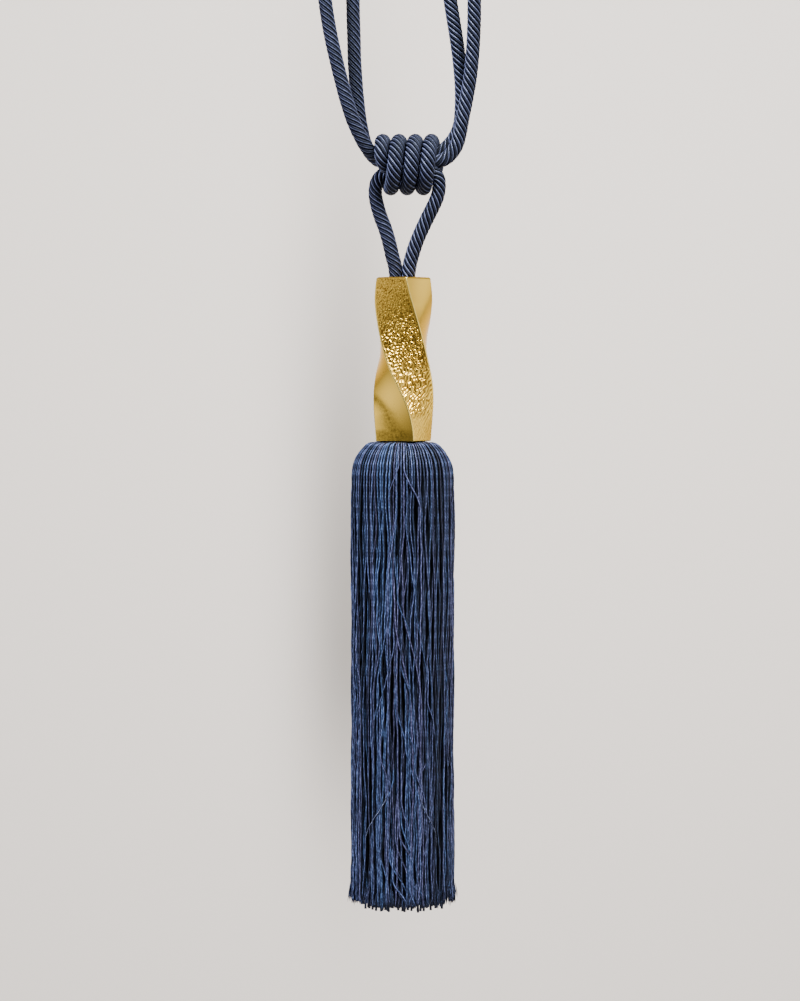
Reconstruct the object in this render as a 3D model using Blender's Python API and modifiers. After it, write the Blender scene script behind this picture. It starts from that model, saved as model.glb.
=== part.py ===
"""Curtain tieback tassel: a doubled twisted cord that hangs from one point, a
four-turn cord knot that grips it, two cord legs, a twisted square metal collar
and a long full skirt of yarn locks.

Metres, +Z up.  The origin is the point that the doubled cord hangs from, in the
middle of its two loops and level with their underside.  The front faces -Y.
"""
import math
import random

import bmesh
import bpy
from mathutils import Matrix, Vector

MM = 0.001

# ---- driving dimensions -----------------------------------------------------

GAP = 0.3 * MM                      # left between two pieces that touch
WELD = 0.001 * MM                   # points closer than this are one point

CORD_RADIUS = 3.45 * MM             # to the crown of the cord's strands
CORD_VALLEY = 2.9 * MM              # to the bottom of the groove between two strands
CORD_STRANDS = 5
CORD_LEAD = 20.0 * MM               # one full turn of a strand
CORD_RINGS_PER_LEAD = 6

KNOT_HEIGHT = -147.1 * MM           # the coil's axis, which runs along X
COIL_RADIUS = 11.2 * MM             # to the middle of the cord
COIL_PITCH = 7.65 * MM
COIL_RIGHT = 13.7 * MM              # X of the right-hand turn at its top
COIL_FULL_TURNS = 3
COIL_SIZE = 1.07                    # the cord spreads a little where it is wound
COIL_POINTS_PER_TURN = 24

COLLAR_TOP = -200.0 * MM
COLLAR_LENGTH = 78.0 * MM
COLLAR_CORNER = 13.7 * MM           # axis to an edge
COLLAR_EDGE_FLAT = 0.5 * MM         # width of the flat on each edge
COLLAR_CROWN = 0.75 * MM            # how far a side bows out at its middle
COLLAR_SIDE_PARTS = 4
COLLAR_STEPS = 22
COLLAR_TAPER = 0.035                # how much narrower its top is, as a share
COLLAR_TAPER_DEPTH = 40.0 * MM      # where it has reached its full width
COLLAR_RIM = 0.6 * MM               # rounding at both ends
COLLAR_SHARP = math.radians(30.0)   # edges sharper than this stay crisp
BORE_RADIUS = 6.8 * MM
BORE_SIDES = 32
BORE_OVERRUN = 5.0 * MM             # how far the bore's cutter stands out at each end

LEG_END = 21.7 * MM                 # how deep the cord legs stop in the collar
SKIRT_LENGTH = 221.8                # in mm, below the collar, to the longest lock
HEAD_DEPTH = 20.0                   # in mm, below the collar
NECK_RADIUS = BORE_RADIUS - GAP
NECK_FOOT = -1.2 * MM               # where the neck meets the head, below the collar
HEAD_SIDES = 40
LOCK_GAP = 0.42                     # in mm, between two neighbours of a ring
LOCK_SWAY = math.radians(2.2)       # how far a lock wanders round the skirt
LOCK_WAVE = 95.0                    # in mm, length of one wander
LOCK_RAGGED = 1.6                   # in mm, spread of the locks' ends
LOCK_UNEVEN = 0.35                  # in mm, spread of their distance from the axis
LOCK_SEED = 11

# The collar's twist: depth in mm below its top, direction of its first edge in
# degrees, seen from above and counted from +X.
COLLAR_TWIST = [
    (0.0, -85.0), (11.0, -74.8), (25.0, -56.5), (35.5, -41.5), (44.0, -27.0),
    (53.0, -9.0), (62.5, 7.6), (72.0, 17.4), (78.0, 20.0),
]

# ---- cord routes ------------------------------------------------------------
# x, y and z in mm from the knot's centre, and size, the share of the cord's full
# thickness, which is less where the knot or the collar squeezes it.

LEFT_LEG = [
    (-3.3, 0.0, -74.6, 0.9), (-3.3, 0.0, -62.0, 0.9), (-3.35, 0.0, -53.5, 0.9),
    (-3.7, 0.0, -48.0, 0.95), (-4.6, 0.1, -43.2, 1.0), (-6.4, 0.4, -36.1, 1.02),
    (-8.2, 1.0, -30.0, 1.02), (-10.2, 1.5, -24.8, 1.02), (-11.9, 1.8, -19.1, 1.02),
    (-12.8, 1.9, -14.0, 1.0), (-12.7, 1.6, -9.4, 0.95), (-11.0, 1.2, -6.2, 0.9),
    (-8.0, 1.5, -4.5, 0.86), (-4.0, 2.5, -3.5, 0.84), (1.0, 3.02, -3.02, 0.84),
    (7.0, 3.02, -3.02, 0.84), (11.0, 3.4, -3.1, 0.84), (14.2, 5.3, -3.1, 0.87),
    (16.0, 8.3, -1.9, 0.92), (16.4, 11.1, 1.2, 0.97), (15.8, 10.5, 5.3, 1.02),
    (14.5, 5.9, 9.6, 1.06),
]
RIGHT_LEG = [
    (-9.9, -4.6, 10.0, 1.05), (-10.0, -7.6, 6.0, 1.0), (-9.7, -7.6, 1.8, 0.94),
    (-8.4, -5.7, -1.2, 0.88), (-5.9, -4.0, -2.5, 0.85), (-2.5, -3.2, -3.0, 0.84),
    (2.0, -3.02, -3.02, 0.84), (7.0, -3.02, -3.02, 0.84), (11.6, -2.8, -3.4, 0.86),
    (15.3, -2.6, -5.8, 0.9), (17.2, -2.4, -10.0, 0.93), (16.7, -2.0, -14.4, 0.98),
    (14.6, -1.7, -19.1, 1.02), (11.8, -1.2, -24.8, 1.02), (9.0, -0.6, -30.5, 1.02),
    (6.6, -0.3, -36.1, 1.02), (4.7, -0.1, -42.0, 1.0), (3.7, 0.0, -47.5, 0.95),
    (3.35, 0.0, -53.5, 0.9), (3.3, 0.0, -62.0, 0.9), (3.3, 0.0, -74.6, 0.9),
]
LOOP_FRONT = [
    (0.2, -3.02, 3.02, 0.84), (-4.0, -2.4, 3.4, 0.84), (-8.0, -1.4, 3.7, 0.86),
    (-11.7, -0.8, 4.3, 0.91), (-15.1, -1.2, 6.1, 0.97), (-17.7, -2.3, 9.3, 1.0),
    (-19.9, -3.2, 13.3, 1.0), (-23.2, -3.7, 20.5, 1.0), (-26.6, -3.7, 31.0, 1.0),
    (-29.1, -3.7, 40.4, 1.0), (-31.4, -3.7, 49.8, 1.0), (-33.5, -3.7, 59.3, 1.0),
    (-35.2, -3.7, 68.7, 1.0), (-36.5, -3.7, 78.2, 1.0), (-37.6, -3.7, 92.0, 1.0),
    (-37.2, -3.7, 108.0, 1.0), (-34.6, -3.7, 122.0, 1.0), (-29.0, -3.7, 134.5, 1.0),
    (-20.0, -3.7, 144.0, 1.0), (-10.2, -3.7, 149.2, 1.0), (0.0, -3.7, 150.5, 1.0),
    (9.2, -3.7, 149.2, 1.0), (17.6, -3.7, 144.0, 1.0), (25.0, -3.7, 134.5, 1.0),
    (30.0, -3.7, 122.0, 1.0), (32.6, -3.7, 108.0, 1.0), (33.5, -3.7, 92.0, 1.0),
    (33.6, -3.7, 78.2, 1.0), (33.6, -3.7, 68.7, 1.0), (33.3, -3.7, 59.3, 1.0),
    (32.7, -3.7, 49.8, 1.0), (31.7, -3.7, 40.4, 1.0), (30.1, -3.7, 30.9, 1.0),
    (28.3, -3.7, 21.5, 1.0), (26.9, -3.9, 14.8, 1.0), (25.0, -4.0, 9.5, 1.0),
    (22.2, -4.1, 5.6, 1.0), (18.6, -4.0, 3.2, 1.0), (14.8, -3.5, 2.5, 0.92),
    (11.0, -3.02, 2.8, 0.85), (6.0, -3.02, 3.02, 0.84), (1.2, -3.02, 3.02, 0.84),
]
LOOP_BACK = [
    (0.2, 3.02, 3.02, 0.84), (-4.0, 3.6, 2.4, 0.84), (-8.0, 4.1, 1.4, 0.84),
    (-11.4, 4.8, 1.9, 0.88), (-14.3, 5.6, 4.6, 0.96), (-16.7, 5.5, 8.3, 1.0),
    (-18.3, 4.8, 12.2, 1.0), (-19.3, 4.1, 16.8, 1.0), (-20.2, 3.7, 21.5, 1.0),
    (-21.6, 3.7, 31.9, 1.0), (-22.3, 3.7, 40.4, 1.0), (-22.7, 3.7, 49.8, 1.0),
    (-22.9, 3.7, 59.3, 1.0), (-23.2, 3.7, 68.7, 1.0), (-23.4, 3.7, 78.2, 1.0),
    (-23.6, 3.7, 92.0, 1.0), (-23.4, 3.7, 108.0, 1.0), (-22.0, 3.7, 122.0, 1.0),
    (-18.9, 3.7, 134.5, 1.0), (-13.6, 3.7, 144.0, 1.0), (-7.1, 3.7, 149.1, 1.0),
    (0.0, 3.7, 150.5, 1.0), (6.6, 3.7, 149.1, 1.0), (12.4, 3.7, 144.0, 1.0),
    (16.7, 3.7, 134.5, 1.0), (19.0, 3.7, 122.0, 1.0), (20.2, 3.7, 108.0, 1.0),
    (21.0, 3.7, 92.0, 1.0), (22.4, 3.7, 78.2, 1.0), (23.9, 3.7, 68.7, 1.0),
    (25.4, 3.7, 59.3, 1.0), (26.7, 3.7, 49.8, 1.0), (27.6, 3.7, 40.4, 1.0),
    (27.9, 3.7, 31.9, 1.0), (27.7, 3.7, 25.3, 1.0), (26.9, 3.7, 19.8, 1.0),
    (25.6, 3.3, 14.5, 1.0), (23.9, 3.0, 9.8, 1.0), (21.3, 2.9, 6.2, 1.0),
    (18.0, 2.9, 3.7, 0.97), (14.4, 3.0, 2.9, 0.9), (11.0, 3.02, 3.0, 0.85),
    (6.0, 3.02, 3.02, 0.84), (1.2, 3.02, 3.02, 0.84),
]

# ---- skirt tables -----------------------------------------------------------
# Radii and depths in mm, depths below the collar's foot.

# Outline of the head under the locks: radius, depth.
HEAD_OUTLINE = [
    (12.0, 1.4), (17.0, 4.2), (20.2, 9.0), (21.6, 15.0), (21.6, 20.0),
]
# Sections of an outer lock above its tip: radius of its middle, depth.
OUTER_LOCK = [
    (11.0, 2.0), (16.3, 3.3), (20.3, 8.0), (22.3, 17.0), (22.6, 60.0),
    (22.6, 130.0), (22.8, 206.0),
]
# Depths of an inner lock's sections above its tip.
INNER_LOCK = (16.0, 85.0, 155.0)
# Rings of locks: radius, thickness of a lock, number of locks, how much shorter
# than the longest lock they are, and how far their tips spread outwards.
LOCK_RINGS = [
    (22.6, 3.0, 40, 3.9, 1.3),
    (18.4, 3.6, 26, 2.6, 0.0),
    (13.8, 3.7, 19, 1.6, 0.0),
    (9.2, 3.7, 13, 0.9, 0.0),
    (4.6, 3.7, 6, 0.4, 0.0),
]


# ---- helpers ----------------------------------------------------------------

def clear_scene():
    for obj in list(bpy.data.objects):
        bpy.data.objects.remove(obj, do_unlink=True)


def new_collection(name):
    collection = bpy.data.collections.new(name)
    bpy.context.scene.collection.children.link(collection)
    return collection


def new_material(name, colour, roughness, metallic):
    material = bpy.data.materials.new(name)
    material.use_nodes = True
    shader = material.node_tree.nodes["Principled BSDF"]
    shader.inputs["Base Color"].default_value = (*colour, 1.0)
    shader.inputs["Roughness"].default_value = roughness
    shader.inputs["Metallic"].default_value = metallic
    return material


def new_object(name, data, collection, location=(0.0, 0.0, 0.0)):
    obj = bpy.data.objects.new(name, data)
    obj.location = location
    collection.objects.link(obj)
    return obj


def mark_guide(obj):
    obj.hide_render = True
    obj.display_type = "WIRE"


def mesh_from(bm, name):
    bmesh.ops.recalc_face_normals(bm, faces=bm.faces)
    mesh = bpy.data.meshes.new(name)
    bm.to_mesh(mesh)
    bm.free()
    return mesh


def welded_mesh(curve_object, name):
    """The curve object's surface as one closed mesh, its end caps joined on."""
    graph = bpy.context.evaluated_depsgraph_get()
    surface = bpy.data.meshes.new_from_object(curve_object.evaluated_get(graph))
    bm = bmesh.new()
    bm.from_mesh(surface)
    bpy.data.meshes.remove(surface)
    bmesh.ops.remove_doubles(bm, verts=bm.verts, dist=WELD)
    mesh = mesh_from(bm, name)
    mesh.shade_smooth()
    return mesh


def extrude_through(bm, sections):
    """Extrude a face from the first section through all the others, as one bar."""
    first = bm.faces.new([bm.verts.new(spot) for spot in sections[0]])
    face = first
    for spots in sections[1:]:
        grown = bmesh.ops.extrude_face_region(bm, geom=[face])["geom"]
        if face is not first:
            bm.faces.remove(face)
        face = next(item for item in grown if isinstance(item, bmesh.types.BMFace))
        for vert, spot in zip(face.verts, spots):
            vert.co = spot


def smooth_line(points, parts=10):
    """Read a centripetal Catmull-Rom curve through points of four numbers."""
    knots = [Vector(point) for point in points]
    knots = [2 * knots[0] - knots[1]] + knots + [2 * knots[-1] - knots[-2]]
    line = []
    for a, b, c, d in zip(knots, knots[1:], knots[2:], knots[3:]):
        t1 = math.sqrt((b - a).xyz.length)
        t2 = t1 + math.sqrt((c - b).xyz.length)
        t3 = t2 + math.sqrt((d - c).xyz.length)
        for part in range(parts):
            t = t1 + (t2 - t1) * part / parts
            ab = a.lerp(b, t / t1)
            bc = b.lerp(c, (t - t1) / (t2 - t1))
            cd = c.lerp(d, (t - t2) / (t3 - t2))
            line.append(ab.lerp(bc, t / t2).lerp(bc.lerp(cd, (t - t1) / (t3 - t1)),
                                                 (t - t1) / (t2 - t1)))
    line.append(knots[-2])
    return line


def spaced_line(line, spacing):
    """Walk a line of four-number points in even steps of about the spacing."""
    travelled = [0.0]
    for a, b in zip(line, line[1:]):
        travelled.append(travelled[-1] + (b - a).xyz.length)
    steps = round(travelled[-1] / spacing)
    walked = []
    at = 0
    for step in range(steps + 1):
        target = travelled[-1] * step / steps
        while at < len(line) - 2 and travelled[at + 1] < target:
            at += 1
        share = (target - travelled[at]) / (travelled[at + 1] - travelled[at])
        walked.append(line[at].lerp(line[at + 1], min(share, 1.0)))
    return walked


# ---- cords ------------------------------------------------------------------

def make_cord_section(guides):
    """The cord's cross-section: a closed outline with a crown on each strand."""
    curve = bpy.data.curves.new("cord_section", "CURVE")
    curve.dimensions = "2D"
    curve.fill_mode = "NONE"
    spline = curve.splines.new("POLY")
    corners = 2 * CORD_STRANDS
    spline.points.add(corners - 1)
    for index, point in enumerate(spline.points):
        angle = 2 * math.pi * index / corners
        radius = CORD_VALLEY if index % 2 else CORD_RADIUS
        point.co = (radius * math.cos(angle), radius * math.sin(angle), 0.0, 1.0)
    spline.use_cyclic_u = True
    section = new_object("cord_section", curve, guides)
    mark_guide(section)
    return section


def coil_turns():
    """Route rows of the coil, from the top of its right-hand turn leftwards."""
    rows = []
    for step in range(COIL_FULL_TURNS * COIL_POINTS_PER_TURN + 1):
        turn = step / COIL_POINTS_PER_TURN
        angle = 2 * math.pi * turn
        rows.append((
            (COIL_RIGHT - COIL_PITCH * turn) / MM,
            -COIL_RADIUS * math.sin(angle) / MM,
            COIL_RADIUS * math.cos(angle) / MM,
            COIL_SIZE,
        ))
    return rows


def make_cord(name, rows, section, material, collection):
    """A twisted cord along a route: the section turns evenly as it goes."""
    spacing = CORD_LEAD / CORD_RINGS_PER_LEAD / MM
    walked = spaced_line(smooth_line(rows), spacing)
    curve = bpy.data.curves.new(name, "CURVE")
    curve.dimensions = "3D"
    curve.bevel_mode = "OBJECT"
    curve.bevel_object = section
    curve.use_fill_caps = True
    spline = curve.splines.new("POLY")
    spline.points.add(len(walked) - 1)
    for index, (point, row) in enumerate(zip(spline.points, walked)):
        point.co = (row[0] * MM, row[1] * MM, row[2] * MM, 1.0)
        point.radius = row[3]
        point.tilt = -2 * math.pi * index / CORD_RINGS_PER_LEAD
    drawn = new_object(name + "_route", curve, collection, (0.0, 0.0, KNOT_HEIGHT))
    mesh = welded_mesh(drawn, name)
    mesh.materials.append(material)
    cord = new_object(name, mesh, collection)
    cord.matrix_world = drawn.matrix_world
    bpy.data.objects.remove(drawn)
    return cord


# ---- collar -----------------------------------------------------------------

def collar_outline():
    """The collar's section: a square with flat edges and sides that bow out."""
    flat = COLLAR_EDGE_FLAT / 2 / COLLAR_CORNER
    outline = []
    for side in range(4):
        start = Vector((math.cos(side * math.pi / 2 + flat),
                        math.sin(side * math.pi / 2 + flat))) * COLLAR_CORNER
        end = Vector((math.cos((side + 1) * math.pi / 2 - flat),
                      math.sin((side + 1) * math.pi / 2 - flat))) * COLLAR_CORNER
        outward = (start + end).normalized()
        for part in range(COLLAR_SIDE_PARTS + 1):
            share = part / COLLAR_SIDE_PARTS
            bow = COLLAR_CROWN * 4 * share * (1 - share)
            outline.append(start.lerp(end, share) + outward * bow)
    return outline


def collar_direction(depth):
    """Direction of the collar's first edge, read smoothly from its twist table."""
    rows = COLLAR_TWIST
    at = 0
    while at < len(rows) - 2 and depth > rows[at + 1][0]:
        at += 1
    (low, start), (high, end) = rows[at], rows[at + 1]
    before, after = rows[max(at - 1, 0)], rows[min(at + 2, len(rows) - 1)]
    span = high - low
    leaving = (end - before[1]) / (high - before[0]) * span
    reaching = (after[1] - start) / (after[0] - low) * span
    t = (depth - low) / span
    return math.radians(
        start * (2 * t ** 3 - 3 * t ** 2 + 1) + leaving * (t ** 3 - 2 * t ** 2 + t)
        + end * (3 * t ** 2 - 2 * t ** 3) + reaching * (t ** 3 - t ** 2))


def collar_levels():
    """Depth, turn and inset at each level of the collar, from its top down."""
    levels = [(0.0, COLLAR_RIM), (COLLAR_RIM, 0.0)]
    for step in range(1, COLLAR_STEPS):
        levels.append((COLLAR_LENGTH * step / COLLAR_STEPS, 0.0))
    levels += [(COLLAR_LENGTH - COLLAR_RIM, 0.0), (COLLAR_LENGTH, COLLAR_RIM)]
    rows = []
    for depth, inset in levels:
        wide = min(1.0, depth / COLLAR_TAPER_DEPTH)
        taper = COLLAR_TAPER * (1 - (3 * wide ** 2 - 2 * wide ** 3))
        rows.append((depth, collar_direction(depth / MM), inset + taper * COLLAR_CORNER))
    return rows


def make_collar(material, collection, guides):
    outline = collar_outline()
    sections = []
    for depth, angle, inset in collar_levels():
        turn = Matrix.Rotation(angle, 2)
        scale = 1 - inset / COLLAR_CORNER
        sections.append([(*(turn @ spot * scale), -depth) for spot in outline])
    bm = bmesh.new()
    extrude_through(bm, sections)
    mesh = mesh_from(bm, "collar")
    mesh.shade_smooth()
    mesh.set_sharp_from_angle(angle=COLLAR_SHARP)
    mesh.materials.append(material)
    collar = new_object("collar", mesh, collection, (0.0, 0.0, COLLAR_TOP))

    bpy.ops.mesh.primitive_cylinder_add(
        vertices=BORE_SIDES, radius=BORE_RADIUS, depth=COLLAR_LENGTH + 2 * BORE_OVERRUN,
        location=(0.0, 0.0, COLLAR_TOP - COLLAR_LENGTH / 2))
    cutter = bpy.context.object
    cutter.name = "collar_bore"
    for owner in list(cutter.users_collection):
        owner.objects.unlink(cutter)
    guides.objects.link(cutter)
    mark_guide(cutter)
    bore = collar.modifiers.new("bore", "BOOLEAN")
    bore.operation = "DIFFERENCE"
    bore.solver = "EXACT"
    bore.object = cutter
    return collar


# ---- skirt ------------------------------------------------------------------

def lock_section(radius, depth, angle, width, thickness):
    """The four corners, in metres, of a lock's level section, given in mm."""
    corners = []
    for side, out in ((-width, 0.0), (0.0, thickness), (width, 0.0), (0.0, -thickness)):
        turn = angle + side / 2 / radius
        reach = (radius + out / 2) * MM
        corners.append((reach * math.cos(turn), reach * math.sin(turn), -depth * MM))
    return corners


def lock_sections(rows, number, angle, count, thickness, uneven):
    """Every section of one lock, which wanders round the skirt as it hangs."""
    sections = []
    for radius, depth in rows:
        free = max(0.0, depth - HEAD_DEPTH) / LOCK_WAVE
        sway = LOCK_SWAY * min(1.0, free) * math.sin(2 * math.pi * free + angle + number)
        reach = radius + uneven * min(1.0, free)
        width = 2 * math.pi * reach / count - LOCK_GAP
        sections.append(lock_section(reach, depth, angle + sway, width, thickness))
    return sections


def make_locks(guides):
    """All the yarn locks, ring by ring, as separate closed bars in one mesh."""
    draw = random.Random(LOCK_SEED)
    bm = bmesh.new()
    for number, (ring, thickness, count, shorter, flare) in enumerate(LOCK_RINGS):
        above_tip = OUTER_LOCK
        if number > 0:
            above_tip = [(ring, depth) for depth in INNER_LOCK]
        for index in range(count):
            angle = 2 * math.pi * (index + number / 2) / count
            tip = SKIRT_LENGTH - shorter - draw.uniform(0.0, LOCK_RAGGED)
            uneven = draw.uniform(-LOCK_UNEVEN, LOCK_UNEVEN)
            rows = above_tip + [(ring + flare, tip)]
            extrude_through(bm, lock_sections(rows, number, angle, count,
                                              thickness, uneven))
    locks = new_object("skirt_locks", mesh_from(bm, "skirt_locks"), guides,
                       (0.0, 0.0, COLLAR_TOP - COLLAR_LENGTH))
    mark_guide(locks)
    return locks


def make_skirt(material, collection, guides):
    """The tassel's head and neck, turned, with the locks joined on by a union."""
    neck_top = COLLAR_LENGTH - LEG_END - GAP
    outline = [(0.0, neck_top), (NECK_RADIUS, neck_top), (NECK_RADIUS, NECK_FOOT)]
    outline += [(radius * MM, -depth * MM) for radius, depth in HEAD_OUTLINE]
    outline.append((0.0, -HEAD_DEPTH * MM))
    mesh = bpy.data.meshes.new("skirt")
    mesh.from_pydata([(radius, 0.0, height) for radius, height in outline],
                     [(index, index + 1) for index in range(len(outline) - 1)], [])
    mesh.materials.append(material)
    skirt = new_object("skirt", mesh, collection,
                       (0.0, 0.0, COLLAR_TOP - COLLAR_LENGTH))
    turned = skirt.modifiers.new("turned", "SCREW")
    turned.steps = HEAD_SIDES
    turned.render_steps = HEAD_SIDES
    turned.use_merge_vertices = True
    turned.merge_threshold = WELD
    union = skirt.modifiers.new("locks", "BOOLEAN")
    union.operation = "UNION"
    union.solver = "EXACT"
    union.object = make_locks(guides)
    return skirt


# ---- the whole tieback ------------------------------------------------------

def main():
    clear_scene()
    tieback = new_collection("curtain_tieback_tassel")
    guides = new_collection("guides_and_cutters")
    hang_point = new_object("hang_point", None, tieback)

    cord_blue = new_material("navy_cord", (0.028, 0.036, 0.075), 0.62, 0.0)
    yarn_blue = new_material("navy_yarn", (0.022, 0.036, 0.085), 0.5, 0.0)
    gold = new_material("satin_gold", (0.62, 0.40, 0.12), 0.32, 1.0)

    section = make_cord_section(guides)
    pieces = [
        make_cord("loop_cord_front", LOOP_FRONT, section, cord_blue, tieback),
        make_cord("loop_cord_back", LOOP_BACK, section, cord_blue, tieback),
        make_cord("tassel_cord", LEFT_LEG + coil_turns() + RIGHT_LEG, section,
                  cord_blue, tieback),
        make_collar(gold, tieback, guides),
        make_skirt(yarn_blue, tieback, guides),
    ]
    for piece in pieces:
        piece.parent = hang_point


main()
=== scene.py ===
"""Curtain tieback tassel: twisted cords in a coiled knot, a twisted square collar
with hammered sides, and a long full skirt of crimped yarn.

Metres, +Z up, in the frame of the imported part.  The front faces -Y.
"""
import math
import random

import bpy
from mathutils import Matrix, Vector, noise


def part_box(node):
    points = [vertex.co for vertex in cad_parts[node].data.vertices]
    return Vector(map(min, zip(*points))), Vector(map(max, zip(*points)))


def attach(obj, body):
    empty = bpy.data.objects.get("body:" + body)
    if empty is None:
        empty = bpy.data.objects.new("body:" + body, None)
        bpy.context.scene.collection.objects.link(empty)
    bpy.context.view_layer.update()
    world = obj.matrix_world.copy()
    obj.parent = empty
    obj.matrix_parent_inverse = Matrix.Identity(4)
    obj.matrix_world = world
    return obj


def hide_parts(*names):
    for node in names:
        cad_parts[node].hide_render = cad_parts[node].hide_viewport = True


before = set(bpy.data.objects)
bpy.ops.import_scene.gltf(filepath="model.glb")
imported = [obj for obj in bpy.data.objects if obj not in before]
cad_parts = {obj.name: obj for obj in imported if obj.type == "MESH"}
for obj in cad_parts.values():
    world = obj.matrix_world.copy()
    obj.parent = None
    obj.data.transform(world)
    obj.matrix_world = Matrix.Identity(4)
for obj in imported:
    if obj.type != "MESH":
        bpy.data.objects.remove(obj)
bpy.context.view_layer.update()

bl_info = {
    "name": "Tieback tassel",
    "version": (1, 0, 0),
    "blender": (4, 5, 0),
    "location": "View3D > Sidebar > Tassel",
    "description": "Builds a curtain tieback tassel: cords, collar and skirt",
    "category": "Add Mesh",
}

MM = 0.001
FRONT = -math.pi / 2  # the direction of the front, seen from above

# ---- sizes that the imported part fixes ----

KNOT_HEIGHT = -147.1 * MM  # the coil's axis, which runs along X
COIL_RADIUS = 10.9 * MM  # to the middle of the cord
COIL_PITCH = 7.65 * MM
COIL_RIGHT = 13.7 * MM  # X of the right-hand turn at its top
COIL_FULL_TURNS = 3
COIL_POINTS_PER_TURN = 24
COLLAR_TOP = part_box("collar")[1].z
COLLAR_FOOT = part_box("collar")[0].z
COLLAR_LENGTH = COLLAR_TOP - COLLAR_FOOT
COLLAR_CORNER = 13.95 * MM  # axis to an edge
COLLAR_CROWN = 0.75 * MM  # how far a side bows out at its middle
COLLAR_SHIFT = 0.45 * MM  # it sits a little to the right on the cords
COLLAR_TAPERS = (0.105, 0.027)  # how much narrower its top and foot are
COLLAR_TAPER_DEPTH = 13.0 * MM  # how far from an end it has its full width
COLLAR_LIFT = 0.7 * MM  # its foot above the yarns' bend
BORE_RADIUS = 6.8 * MM

# The collar's twist: depth in mm below its top, direction of its first edge in
# degrees, seen from above and counted from +X.
COLLAR_TWIST = [
    (0, -85), (11, -74.8), (25, -56.5), (35.5, -41.5), (44, -27), (53, -9), (62.5, 7.6),
    (72, 17.4), (78, 20),
]

# ---- cord routes ----
# x, y and z in mm from the knot's centre, and size, the share of the cord's full
# thickness, which is less where the knot or the collar squeezes it.

LEFT_LEG = [
    (-3.3, 0.2, -74.6, 0.9), (-3.3, 0.2, -62, 0.92), (-3.15, 0.2, -54, 0.96),
    (-3.5, 0.2, -48, 1.03), (-4.75, 0.2, -43.2, 1.03), (-6.4, 0.4, -36.1, 1.02),
    (-8.2, 1, -30, 1.02), (-10.2, 1.5, -24.8, 1.02), (-11.9, 1.8, -19.1, 1.02),
    (-12.8, 1.9, -14.4, 1), (-12.7, 1.6, -10.4, 0.98), (-11.8, 1.3, -7.3, 0.96),
    (-10.1, 1.2, -4.9, 0.92), (-7.5, 1.5, -3.6, 0.88), (-4, 2.4, -3.2, 0.85),
    (1, 3.02, -3.02, 0.84), (7, 3.02, -3.02, 0.84), (11, 3.4, -3.1, 0.84),
    (14.2, 5.3, -3.1, 0.87), (15.9, 8.2, -2.2, 0.92), (16.4, 10.4, 0.8, 0.97),
    (15.8, 10.1, 4.9, 1.02), (14.6, 6.2, 9, 1.06),
]
RIGHT_LEG = [
    (-9.8, -4.6, 9.8, 1.05), (-10, -7.6, 6, 1), (-9.7, -7.6, 1.8, 0.94),
    (-8.4, -5.7, -1.2, 0.88), (-5.9, -4, -2.5, 0.85), (-2.5, -3.2, -3, 0.84),
    (2, -3.02, -3.02, 0.84), (7, -3.2, -2.8, 0.84), (11.5, -3.9, -2.2, 0.88),
    (14.6, -4.4, -3.6, 0.93), (16.7, -4, -6.3, 0.97), (17.2, -3.3, -10.4, 0.99),
    (16.5, -2.7, -14.7, 1), (14.6, -2.2, -19.3, 1.02), (11.8, -1.6, -24.9, 1.02),
    (9.1, -1.1, -30.5, 1.02), (6.7, -0.8, -36.1, 1.02), (4.8, -0.7, -41.8, 1.03),
    (3.35, -0.6, -47.5, 1.03), (2.8, -0.6, -53.5, 0.97), (3.2, -0.3, -62, 0.93),
    (3.3, 0, -74.6, 0.9),
]
LOOP_PLANE = 3.7  # each loop hangs in a plane this far from the knot's


def full_size(y, spots):
    """Route rows at one y and the cord's full thickness, from their x and z."""
    return [(x, y, z, 1.0) for x, z in spots]


LOOP_FRONT = [
    (0.2, -3.02, 3.02, 0.84), (-4, -2.4, 3.4, 0.84), (-8, -1.4, 3.7, 0.86),
    (-11.7, -0.8, 4.3, 0.91), (-15.1, -1.2, 6.1, 0.97), (-17.7, -2.3, 9.3, 1),
    (-19.9, -3.2, 13.3, 1),
    *full_size(-LOOP_PLANE, [
        (-23.2, 20.5), (-26.6, 31), (-29.1, 40.4), (-31.4, 49.8), (-33.5, 59.3),
        (-35.2, 68.7), (-36.5, 78.2), (-37.6, 92), (-37.2, 108), (-34.6, 122),
        (-29, 134.5), (-20, 144), (-10.2, 149.2), (0, 150.5), (9.2, 149.2), (17.6, 144),
        (25, 134.5), (30, 122), (32.6, 108), (33.5, 92), (33.6, 78.2), (33.6, 68.7),
        (33.3, 59.3), (32.7, 49.8), (31.7, 40.4), (30.1, 30.9), (28.2, 21.5)
    ]),
    (27, -3.8, 14.6, 1), (25.4, -4, 9, 1), (23.1, -4.2, 5.2, 1), (20.8, -4.4, 3, 1),
    (17.9, -4.6, 1.5, 0.98), (14.6, -4.2, 1.2, 0.92), (11, -3.4, 2.2, 0.86),
    (6, -3.02, 3.02, 0.84), (1.2, -3.02, 3.02, 0.84),
]
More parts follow.
